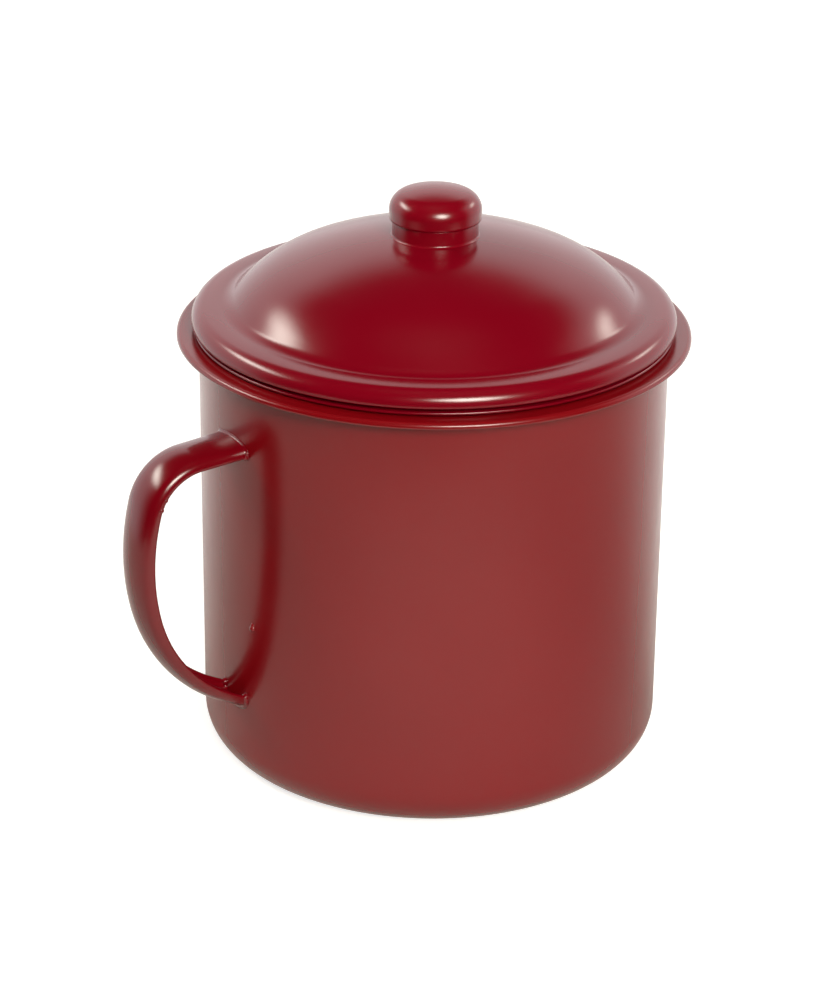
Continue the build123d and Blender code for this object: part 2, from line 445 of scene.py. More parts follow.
class EffectShelf:
    """Builds each shared effect once and hands it out."""

    def __init__(self) -> None:
        """Starts with no groups."""
        self.groups: dict[Effect, bpy.types.NodeTree] = {}

    def place(self, bench: NodeBench, effect: Effect, values: Values) -> Node:
        """Puts an effect into a material.

        Args:
            bench: The material's nodes.
            effect: Which effect.
            values: Values of the group's inputs, by name.

        Returns:
            The group node.
        """
        if effect not in self.groups:
            makers = {Effect.PEEL: self._peel, Effect.DRIFT: self._drift, Effect.NIBS: self._nibs}
            self.groups[effect] = makers[effect]()
        return bench.add("ShaderNodeGroup", values, node_tree=self.groups[effect])

    @staticmethod
    def _blank(effect: Effect, inputs: Kinds, outputs: Kinds) -> tuple[NodeBench, Node, Node]:
        """Makes an empty group.

        Args:
            effect: Effect that names the group.
            inputs: Socket type of each input, by name.
            outputs: Socket type of each output, by name.

        Returns:
            The group's bench, its input node and its output node.
        """
        tree = bpy.data.node_groups.new(effect.value, "ShaderNodeTree")
        for name, kind in inputs.items():
            tree.interface.new_socket(name=name, in_out="INPUT", socket_type=kind)
        for name, kind in outputs.items():
            tree.interface.new_socket(name=name, in_out="OUTPUT", socket_type=kind)
        bench = NodeBench(tree)
        return bench, bench.add("NodeGroupInput"), bench.add("NodeGroupOutput")

    def _peel(self) -> bpy.types.NodeTree:
        """Builds the faint waviness of a sprayed coat, as a height.

        Returns:
            The group.
        """
        bench, given, result = self._blank(
            Effect.PEEL,
            {"Ripple Scale": FLOAT, "Wave Scale": FLOAT, "Wave Share": FLOAT},
            {"Height": FLOAT},
        )
        ripple = bench.texture("ShaderNodeTexNoise", {"Detail": 1.5, "Roughness": 0.45})
        wave = bench.texture("ShaderNodeTexNoise", {"Detail": 2.0, "Roughness": 0.4})
        bench.join(given.outputs["Ripple Scale"], ripple.inputs["Scale"])
        bench.join(given.outputs["Wave Scale"], wave.inputs["Scale"])
        swell = bench.maths("MULTIPLY", wave.outputs["Fac"], given.outputs["Wave Share"])
        bench.join(bench.maths("ADD", ripple.outputs["Fac"], swell), result.inputs["Height"])
        return bench.tree

    def _drift(self) -> bpy.types.NodeTree:
        """Builds the slow change of colour and gloss over a coat, with a fine grain in the gloss.

        Returns:
            The group.
        """
        bench, given, result = self._blank(
            Effect.DRIFT,
            {"Colour": COLOUR, "Thick Colour": COLOUR, "Gloss Low": FLOAT, "Gloss High": FLOAT},
            {"Colour": COLOUR, "Roughness": FLOAT},
        )
        cloud = bench.texture("ShaderNodeTexNoise", {"Scale": 24.0, "Detail": 3.0, "Roughness": 0.55})
        smear = bench.texture("ShaderNodeTexNoise", {"Scale": 55.0, "Detail": 4.0, "Roughness": 0.6})
        grain = bench.texture("ShaderNodeTexNoise", {"Scale": 1600.0, "Detail": 1.0})
        cloud_range, dull_range, grain_share = (0.3, 0.7), (0.45, 0.95), 0.35
        thick = bench.remap(cloud.outputs["Fac"], *cloud_range, 0.0, 1.0)
        colour = bench.mix(thick, given.outputs["Colour"], given.outputs["Thick Colour"])
        dull = bench.maths("MULTIPLY_ADD", grain.outputs["Fac"], grain_share, smear.outputs["Fac"])
        gloss = bench.remap(dull, *dull_range, given.outputs["Gloss Low"], given.outputs["Gloss High"])
        bench.join(colour, result.inputs["Colour"])
        bench.join(gloss, result.inputs["Roughness"])
        return bench.tree

    def _nibs(self) -> bpy.types.NodeTree:
        """Builds a few small specks caught in the coat, as a mask that is 1 at a speck's middle.

        Returns:
            The group.
        """
        bench, given, result = self._blank(Effect.NIBS, {"Scale": FLOAT, "Size": FLOAT}, {"Mask": FLOAT})
        cells = bench.texture("ShaderNodeTexVoronoi", {"Scale": given.outputs["Scale"]}, feature="F1")
        near = bench.maths("DIVIDE", cells.outputs["Distance"], given.outputs["Size"])
        bench.join(bench.remap(near, 0.0, 1.0, 1.0, 0.0), result.inputs["Mask"])
        return bench.tree


@dataclass(frozen=True)
class Finish:
    """What all finishes share: two colours that drift into each other and a range of gloss."""

    name: str
    colour: Colour
    thick_colour: Colour
    gloss_low: float
    gloss_high: float
    metallic: float = 0.0

    def relief(self, bench: NodeBench, shelf: EffectShelf) -> Socket:
        """Builds the fine relief of the surface, as a normal.

        Args:
            bench: The material's nodes.
            shelf: Shared effects.

        Returns:
            The normal's socket.
        """
        raise NotImplementedError

    def make(self, shelf: EffectShelf) -> Material:
        """Builds the material.

        Args:
            shelf: Shared effects.

        Returns:
            The material.
        """
        material, bench = NodeBench.for_material(self.name)
        drift = shelf.place(
            bench,
            Effect.DRIFT,
            {
                "Colour": (*self.colour, 1.0),
                "Thick Colour": (*self.thick_colour, 1.0),
                "Gloss Low": self.gloss_low,
                "Gloss High": self.gloss_high,
            },
        )
        surface = bench.add(
            "ShaderNodeBsdfPrincipled",
            {
                "Base Color": drift.outputs["Colour"],
                "Roughness": drift.outputs["Roughness"],
                "Normal": self.relief(bench, shelf),
                "Metallic": self.metallic,
                "IOR": 1.5,
            },
        )
        bench.end("ShaderNodeOutputMaterial", surface.outputs["BSDF"])
        return material


@dataclass(frozen=True)
class CoatFinish(Finish):
    """Coloured coat on metal, faintly wavy and with a few specks."""

    peel_depth: float = 0.004 * MM
    ripple_scale: float = 520.0
    wave_scale: float = 130.0
    wave_share: float = 1.2
    nib_height: float = 0.009 * MM
    nib_scale: float = 34.0
    nib_size: float = 0.016

    def relief(self, bench: NodeBench, shelf: EffectShelf) -> Socket:
        """Builds the coat's waviness with its specks on top, as a normal.

        Args:
            bench: The material's nodes.
            shelf: Shared effects.

        Returns:
            The normal's socket.
        """
        scales = {"Ripple Scale": self.ripple_scale, "Wave Scale": self.wave_scale}
        peel = shelf.place(bench, Effect.PEEL, {**scales, "Wave Share": self.wave_share})
        nibs = shelf.place(bench, Effect.NIBS, {"Scale": self.nib_scale, "Size": self.nib_size})
        waves = bench.bump(peel.outputs["Height"], self.peel_depth)
        specks = bench.bump(nibs.outputs["Mask"], self.nib_height)
        bench.join(waves.outputs["Normal"], specks.inputs["Normal"])
        return specks.outputs["Normal"]


@dataclass(frozen=True)
class SteelFinish(Finish):
    """Bare turned steel with fine rings about the axis."""

    name: str = "turned_steel"
    colour: Colour = (0.56, 0.55, 0.53)
    thick_colour: Colour = (0.44, 0.43, 0.41)
    gloss_low: float = 0.29
    gloss_high: float = 0.42
    metallic: float = 1.0
    ring_scale: float = 900.0
    ring_depth: float = 0.02 * MM
    ring_strength: float = 0.6

    def relief(self, bench: NodeBench, shelf: EffectShelf) -> Socket:
        """Builds the turning marks, as a normal.

        Args:
            bench: The material's nodes.
            shelf: Shared effects; not used here.

        Returns:
            The normal's socket.
        """
        values = {"Scale": self.ring_scale, "Distortion": 1.5, "Detail": 2.0}
        rings = bench.texture("ShaderNodeTexWave", values, wave_type="RINGS", rings_direction="Z")
        return bench.bump(rings.outputs["Fac"], self.ring_depth, self.ring_strength).outputs["Normal"]


def make_finishes() -> Finishes:
    """Builds the material of every record slot.

    Returns:
        The material of each slot.
    """
    shelf = EffectShelf()
    finishes: dict[Slot, Finish] = {
        Slot.CUP: CoatFinish(
            "cup_satin_red", (0.184, 0.0015, 0.004), (0.174, 0.0012, 0.0036), 0.215, 0.265
        ),
        Slot.HANDLE: CoatFinish(
            "handle_gloss_red", (0.147, 0.0008, 0.0048), (0.137, 0.0006, 0.0043), 0.17, 0.22
        ),
        Slot.LID: CoatFinish("lid_red", (0.174, 0.0004, 0.007), (0.166, 0.0004, 0.0066), 0.18, 0.22),
        Slot.KNOB: CoatFinish(
            "knob_red", (0.19, 0.0004, 0.007), (0.181, 0.0004, 0.0066), 0.2, 0.24, nib_height=0.0
        ),
        Slot.STEEL: SteelFinish(),
    }
    return {slot: finish.make(shelf) for slot, finish in finishes.items()}


# ---- Cup and handle ----


@dataclass
class Cup:
    """Drawn cup with a turned-out lip; drop_lumps gives sink, lift and radius as shares of drop_size."""

    radius: float = 60.0 * MM
    height: float = 114.4 * MM
    sheet: float = 0.8 * MM
    base_corner: float = 9.6 * MM
    lip_width: float = 5.6 * MM
    lip_bend: float = 1.3 * MM
    lip_edge_bend: float = 0.7 * MM
    lip_edge_leg: float = 0.1 * MM
    drop_azimuth: float = -82.0
    drop_height: float = 47.0 * MM
    drop_size: float = 0.95 * MM
    drop_lumps: tuple[Place, ...] = ((0.2, 0.0, 1.0), (0.35, 1.0, 0.75))
    drop_voxel: float = 0.1 * MM
    drop_ripple: float = 0.05 * MM

    def build(self) -> Thing:
        """Turns the cup from the centre of its base to the lip's turned-down edge.

        Returns:
            The cup.
        """
        half = self.sheet / 2
        wall = self.radius - half
        lip_height = self.height - half
        lip_edge = self.radius + self.lip_width - half
        line = SheetLine().path(
            [
                (0.0, half),
                (wall, half),
                (wall, lip_height),
                (lip_edge, lip_height),
                (lip_edge, lip_height - self.lip_edge_bend - self.lip_edge_leg),
            ],
            [self.base_corner, self.lip_bend, self.lip_edge_bend],
        )
        return turn_piece("cup_drawn_shell", line.outline(half))

    def build_drop(self) -> Thing:
        """Sets one run of coat on the wall behind the handle.

        Returns:
            The drop.
        """
        lumps: list[Lump] = []
        for sink, lift, share in self.drop_lumps:
            middle = facing(self.drop_azimuth, 0.0) * (self.radius - sink * self.drop_size)
            middle.z = self.drop_height + lift * self.drop_size
            lumps.append((middle, share * self.drop_size))
        return lump_piece("cup_coat_drop", lumps, self.drop_voxel, self.drop_ripple)

    def dress(self, finishes: Finishes) -> None:
        """Builds the cup and puts it on the frame in its satin coat."""
        settle(self.build(), Body.CUP, Slot.CUP, finishes, "cup_body")
        settle(self.build_drop(), Body.CUP, Slot.CUP, finishes)


@dataclass
class StrapHandle:
    """Tapered strap with a crowned back and turned-in edges, welded to the cup at both ends.

    bead_sizes gives each bead's share of the way round the edge's tip and its radius, drop_places each
    drop's share of the way down the strap and its radius.
    """

    cup: Cup
    top: float = 96.6 * MM
    foot: float = 22.87 * MM
    sheet: float = 1.0 * MM
    wall_gap: float = 0.05 * MM
    overrun: float = 3.0 * MM
    slope: float = 3.3
    upper_leg: float = 12.2 * MM
    upper_bend_radius: float = 16.0 * MM
    upper_bend_turn: float = 71.3
    grip_turn: float = 28.5
    lower_bend_radius: float = 44.0 * MM
    lower_bend_turn: float = 50.0
    upper_crown: float = 10.6 * MM
    lower_crown: float = 7.8 * MM
    crown_rise: float = 0.8 * MM
    edge_bend: float = 2.2 * MM
    edge_turn: float = 70.0
    crown_points: int = 9
    edge_points: int = 13
    tip_points: int = 5
    coat_fillet: float = 0.7 * MM
    fillet_steps: tuple[float, ...] = (0.0, 0.04, 0.1, 0.18, 0.3, 0.45, 0.62, 0.8, 1.0)
    past_fillet: float = 1.4 * MM
    leg_steps: int = 8
    end_steps: int = 5
    bend_step: float = 1.5
    end_blend: float = 5.0 * MM
    bead_sizes: tuple[Point, ...] = ((0.0, 1.0 * MM), (0.2, 0.8 * MM), (0.36, 0.55 * MM))
    bead_spread: float = 0.9
    bead_start: float = 1.04
    bead_change: float = 0.3
    bead_lift: float = 0.2
    bead_drift: float = 0.35 * MM
    bead_inside: float = 59.6 * MM
    bead_voxel: float = 0.12 * MM
    bead_ripple: float = 0.12 * MM
    drift_scale: float = 900.0
    drift_offsets: Place = (3.7, 1.3, 2.1)
    drift_shifts: Place = (0.0, 17.3, 31.9)
    drop_places: tuple[Point, ...] = ((0.257, 0.68 * MM), (0.276, 0.56 * MM), (0.289, 0.74 * MM))
    drop_voxel: float = 0.1 * MM
    drop_ripple: float = 0.04 * MM
    route: list[tuple[float, float, float, float]] = field(default_factory=list)

    def run_straight(self, steps: np.ndarray, start: Place, heading: float) -> None:
        """Adds the route's stations at some steps of a straight run.

        Args:
            steps: Distances from the start of the run.
            start: Distance along the route, x and height at the start.
            heading: Heading of the run below level.
        """
        along, x, height = start
        fore, fall = math.cos(heading), math.sin(heading)
        self.route.extend((along + step, x - step * fore, height - step * fall, heading) for step in steps)

    def lay_route(self) -> None:
        """Works out the route's stations: distance, x, height and heading below level."""
        lean = math.radians(self.slope)
        turns = [math.radians(t) for t in (self.upper_bend_turn, self.grip_turn, self.lower_bend_turn)]
        starts = [lean, lean + turns[0], lean + turns[0] + turns[1]]
        home = lean + sum(turns)
        outs = [math.sin(s + t) - math.sin(s) for s, t in zip(starts, turns)]
        falls = [math.cos(s) - math.cos(s + t) for s, t in zip(starts, turns)]
        home_fall = -math.tan(home)
        leg = self.upper_leg / math.cos(lean)
        out = self.upper_leg + self.upper_bend_radius * outs[0] + self.lower_bend_radius * outs[2]
        fall = leg * math.sin(lean) + self.upper_bend_radius * falls[0] + self.lower_bend_radius * falls[2]
        drop = self.top - self.foot - fall - out * home_fall
        grip_radius = drop / (falls[1] + outs[1] * home_fall)
        near = np.array(self.fillet_steps) * self.coat_fillet
        steps = np.concatenate([near, np.linspace(self.past_fillet, leg, self.leg_steps)])
        self.run_straight(steps, (0.0, -self.cup.radius, self.top), lean)
        along, x, height, _ = self.route[-1]
        radii = (self.upper_bend_radius, grip_radius, self.lower_bend_radius)
        for start, turn, radius in zip(starts, turns, radii):
            for part in np.linspace(0, 1, math.ceil(math.degrees(turn) / self.bend_step) + 1)[1:]:
                heading = start + turn * part
                reach = radius * (math.sin(heading) - math.sin(start))
                sink = radius * (math.cos(start) - math.cos(heading))
                self.route.append((along + radius * turn * part, x - reach, height - sink, heading))
            along, x, height, _ = self.route[-1]
        last = (-self.cup.radius - x) / -math.cos(home)
        before = np.linspace(0, last - self.past_fillet, self.end_steps)[1:]
        self.run_straight(np.concatenate([before, last - near[::-1]]), (along, x, height), home)

    def section(self, crown: float, half: float) -> list[Point]:
        """Outline of the strap's section.

        Args:
            crown: Width of the crown between the turned-in edges.
            half: Half the thickness.

        Returns:
            Outline points, across and outward, the same number at any width.
        """
        lean = 2 * math.atan2(self.crown_rise, crown / 2)
        back = (crown / 2) ** 2 / (2 * self.crown_rise) + self.crown_rise / 2
        middle: list[Place] = []
        for angle in np.linspace(0, lean, self.crown_points):
            middle.append((back * math.sin(angle), back * (math.cos(angle) - 1), angle))
        shift, sink, _ = middle[-1]
        for angle in np.linspace(lean, lean + math.radians(self.edge_turn), self.edge_points)[1:]:
            x = shift + self.edge_bend * (math.sin(angle) - math.sin(lean))
            y = sink + self.edge_bend * (math.cos(angle) - math.cos(lean))
            middle.append((x, y, angle))
        whole = [(-x, y, -angle) for x, y, angle in middle[:0:-1]] + middle
        outer = [(x + half * math.sin(a), y + half * math.cos(a)) for x, y, a in whole]
        inner = [(x - half * math.sin(a), y - half * math.cos(a)) for x, y, a in whole[::-1]]
        x, y, angle = whole[-1]
        turns = np.linspace(0, math.pi, self.tip_points + 2)[1:-1]
        tip = [(x + half * math.sin(angle + t), y + half * math.cos(angle + t)) for t in turns]
        return outer + tip + inner + [(-px, py) for px, py in tip[::-1]]

    def edge_tip(self, crown: float) -> Point:
        """Half width and depth of a turned-in edge's tip in a section.

        Args:
            crown: Width of the crown between the turned-in edges.

        Returns:
            Half the width and the depth.
        """
        lean = 2 * math.atan2(self.crown_rise, crown / 2)
        end = lean + math.radians(self.edge_turn)
        half_width = crown / 2 + self.edge_bend * (math.sin(end) - math.sin(lean))
        return half_width, self.crown_rise + self.edge_bend * (math.cos(lean) - math.cos(end))

    def crown_at(self, along: float) -> float:
        """Width of the crown at a distance along the route."""
        share = (along + self.overrun) / (self.route[-1][0] + 2 * self.overrun)
        return self.upper_crown + (self.lower_crown - self.upper_crown) * share

    @staticmethod
    def beside(x: float, height: float, heading: float, across: float, outward: float) -> Vector:
        """Point beside a place of the route, across the strap and away from the palm's side."""
        return Vector((x - outward * math.sin(heading), -across, height + outward * math.cos(heading)))

    def on_wall(self, station: int, across: float, outward: float) -> Vector:
        """Point of the cup's wall that a place in an end's section reaches along the strap.

        Args:
            station: 0 for the upper end and -1 for the lower one.
            across: Place across the strap.
            outward: Place away from the palm's side.

        Returns:
            The point.
        """
        _, x, height, heading = self.route[station]
        start = self.beside(x, height, heading, across, outward)
        way = Vector((-math.cos(heading), 0.0, -math.sin(heading)))
        wall = -math.sqrt((self.cup.radius + self.wall_gap) ** 2 - start.y**2)
        return start + way * ((wall - start.x) / way.x)

    def build_strap(self) -> Thing:
        """Sweeps the strap along its route, with its coat running out on the wall at both ends.

        Returns:
            The strap.
        """
        total = self.route[-1][0]
        points: list[Place] = []
        rows: list[list[int]] = []
        for along, x, height, heading in self.route:
            near = min(along, total - along)
            spread = 0.0
            if near < self.coat_fillet:
                spread = self.coat_fillet - math.sqrt(self.coat_fillet**2 - (self.coat_fillet - near) ** 2)
            station = 0 if along < total / 2 else -1
            _, end_x, end_height, _ = self.route[station]
            first = len(points)
            for across, outward in self.section(self.crown_at(along), self.sheet / 2 + spread):
                place = self.beside(x, height, heading, across, outward)
                if near < self.end_blend:
                    end = self.beside(end_x, end_height, heading, across, outward)
                    place += (self.on_wall(station, across, outward) - end) * (1 - near / self.end_blend)
                points.append(tuple(place))
            rows.append(list(range(first, len(points))))
        faces = [face for low, high in zip(rows, rows[1:]) for face in band(low, high)]
        side = len(rows[0]) // 2 - self.tip_points
        far = side + self.tip_points
        for ring in (rows[0], rows[-1]):
            outer, inner = ring[:side], ring[far : far + side][::-1]
            for i in range(side - 1):
                faces.append((outer[i], outer[i + 1], inner[i + 1], inner[i]))
            faces.append((outer[-1], *ring[side:far], inner[-1]))
            faces.append((inner[0], *ring[far + side :], outer[0]))
        return new_piece("handle_bent_strap", points, faces)

    def build_beads(self, name: str, station: int) -> Thing:
        """Lays the weld beads where the turned-in edges of one end meet the wall.

        Args:
            name: Name of the piece.
            station: 0 for the upper end and -1 for the lower one.

        Returns:
            The beads, as one lumpy object.
        """
        half_width, depth = self.edge_tip(self.crown_at(self.route[station][0]))
        by_station, by_number, by_side = self.drift_offsets
        lumps: list[Lump] = []
        for side in (-1, 1):
            for number, (share, size) in enumerate(self.bead_sizes):
                across = side * (half_width + self.sheet * self.bead_spread * share)
                middle = self.on_wall(station, across, -depth * (self.bead_start - share))
                offset = Vector((station * by_station, number * by_number, side * by_side))
                spot = middle * self.drift_scale + offset
                spots = [spot + Vector((shift, 0.0, 0.0)) for shift in self.drift_shifts]
                drift = Vector([noise.noise(place) for place in spots])
                radius = size * (1 + self.bead_change * drift.x)
                lift = Vector((middle.x, middle.y, 0.0)).normalized() * radius * self.bead_lift
                lumps.append((middle + (lift + drift * self.bead_drift), radius))
        piece = lump_piece(name, lumps, self.bead_voxel, self.bead_ripple)
        for vertex in piece.data.vertices:
            reach = math.hypot(vertex.co.x, vertex.co.y)
            if reach < self.bead_inside:
                vertex.co.x *= self.bead_inside / reach
                vertex.co.y *= self.bead_inside / reach
        return piece

    def build_drops(self) -> Thing:
        """Sets the drops of coat that hang on the near edge below the upper bend.

        Returns:
            The drops, as one object.
        """
        lumps: list[Lump] = []
        for share, size in self.drop_places:
            goal = share * self.route[-1][0]
            along, x, height, heading = min(self.route, key=lambda stop: abs(stop[0] - goal))
            half_width, depth = self.edge_tip(self.crown_at(along))
            lumps.append((self.beside(x, height, heading, half_width, -depth), size))
        return lump_piece("handle_coat_drops", lumps, self.drop_voxel, self.drop_ripple)

    def dress(self, finishes: Finishes) -> None:
        """Builds the strap, its beads and its drops and puts them on the frame in the handle's coat.

        Args:
            finishes: Material of each slot.
        """
        self.lay_route()
        settle(self.build_strap(), Body.CUP, Slot.HANDLE, finishes, "handle_strap")
        upper = self.build_beads("upper_weld_beads", 0)
        settle(upper, Body.CUP, Slot.HANDLE, finishes, "upper_handle_welds")
        lower = self.build_beads("lower_weld_beads", -1)
        settle(lower, Body.CUP, Slot.HANDLE, finishes, "lower_handle_welds")
        settle(self.build_drops(), Body.CUP, Slot.HANDLE, finishes)


# ---- Lid and knob ----


@dataclass
class Lid:
    """Pressed dome with a brim and a turned-down rim, and the collar with its seat ring under it."""

    cup: Cup
    sheet: float = 0.8 * MM
    contact_gap: float = 0.05 * MM
    seat_gap: float = 0.3 * MM
    plug_gap: float = 0.6 * MM
    hole_radius: float = 2.15 * MM
    rim_reach: float = 1.8 * MM
    rim_lift: float = 2.05 * MM
    rim_depth: float = 4.7 * MM
    rim_bend: float = 3.3 * MM
    brim_round: float = 32.0 * MM
    brim_width: float = 9.37 * MM
    crease_bend: float = 5.4 * MM
    dome_rise: float = 18.35 * MM
    shoulder_radius: float = 35.6 * MM
    crease_lean: float = 37.98
    collar_flange: float = 3.6 * MM
    collar_bend: float = 0.6 * MM
    seat_reach: float = 2.0 * MM
    seat_overlap: float = 0.1 * MM
    plug_depth: float = 8.4 * MM

    def __post_init__(self) -> None:
        """Works out the heights and arcs that follow from the sizes."""
        self.half = self.sheet / 2
        self.rim_radius = self.cup.radius + self.rim_reach
        self.rim_middle = self.rim_radius - self.half
        self.rim_bottom = self.cup.height + self.rim_lift
        self.brim_top = self.rim_bottom + self.rim_depth - self.half
        self.crease = (self.rim_middle - self.brim_width, self.brim_top)
        lean = math.radians(self.crease_lean)
        self.shoulder = (
            self.crease[0] - self.shoulder_radius * math.cos(lean),
            self.crease[1] - self.shoulder_radius * math.sin(lean),
        )
        self.dome_middle = self.crease[1] + self.dome_rise
        below = self.dome_middle - self.shoulder[1]
        reach = self.shoulder[0] ** 2 + below**2 - self.shoulder_radius**2
        self.crown_radius = reach / (2 * (below - self.shoulder_radius))
        self.dome_centre = self.dome_middle - self.crown_radius
        self.plug_wall = self.cup.radius - self.sheet - self.plug_gap - self.half

    def crown_height(self, radius: float, lift: float) -> float:
        """Height of the crown at a radius, on a surface that lies lift above the sheet's middle."""
        return self.dome_centre + math.sqrt((self.crown_radius + lift) ** 2 - radius**2)

    def build_shell(self) -> Thing:
        """Turns the shell from the screw's hole over the dome and the brim to the rim's lower edge.

        Returns:
            The shell.
        """
        hollow_height = self.brim_top + self.crease_bend
        arm = self.shoulder_radius + self.crease_bend
        climb = hollow_height - self.shoulder[1]
        hollow = (self.shoulder[0] + math.sqrt(arm**2 - climb**2), hollow_height)
        steep = math.asin(climb / arm)
        first = math.acos((self.hole_radius + self.half) / self.crown_radius)
        last = math.atan2(self.shoulder[1] - self.dome_centre, self.shoulder[0])
        line = SheetLine()
        line.arc((0.0, self.dome_centre), self.crown_radius, first, last)
        line.arc(self.shoulder, self.shoulder_radius, last, steep)
        line.arc(hollow, self.crease_bend, steep + math.pi, 1.5 * math.pi)
        rim_inside, brim_arm = self.rim_middle - self.rim_bend, self.brim_round - self.rim_bend
        fall = math.asin((rim_inside - hollow[0]) / brim_arm)
        brim = (hollow[0], self.brim_top - self.brim_round)
        line.arc(brim, self.brim_round, math.pi / 2, math.pi / 2 - fall)
        rim = (rim_inside, brim[1] + brim_arm * math.cos(fall))
        line.arc(rim, self.rim_bend, math.pi / 2 - fall, 0.0)
        line.add((self.rim_middle, self.rim_bottom + self.half))
        return turn_piece("lid_pressed_shell", line.outline(self.half))

    def build_collar(self) -> Thing:
        """Turns the collar: flange under the brim and plug wall down into the mouth.

        Returns:
            The collar.
        """
        wall, top = self.plug_wall, self.brim_top - self.sheet - self.contact_gap
        foot = self.cup.height - self.plug_depth + self.half
        line = SheetLine().path(
            [(wall - self.collar_flange, top), (wall, top), (wall, foot)], [self.collar_bend]
        )
        return turn_piece("lid_collar_wall", line.outline(self.half))

    def build_seat(self) -> Thing:
        """Turns the seat ring, which starts inside the collar's wall and rests on the lip.

        Returns:
            The seat ring.
        """
        height = self.cup.height + self.seat_gap + self.half
        end = self.cup.radius - self.sheet + self.seat_reach - self.half
        line = SheetLine().path([(self.plug_wall + self.seat_overlap, height), (end, height)], [])
        return turn_piece("lid_seat_ring", line.outline(self.half))

    def dress(self, finishes: Finishes) -> None:
        """Builds the shell and the collar and puts them on the frame in the lid's coat.

        Args:
            finishes: Material of each slot.
        """
        settle(self.build_shell(), Body.LID, Slot.LID, finishes, "lid_shell")
        settle(self.build_collar(), Body.LID, Slot.LID, finishes, "lid_collar")
        settle(self.build_seat(), Body.LID, Slot.LID, finishes)


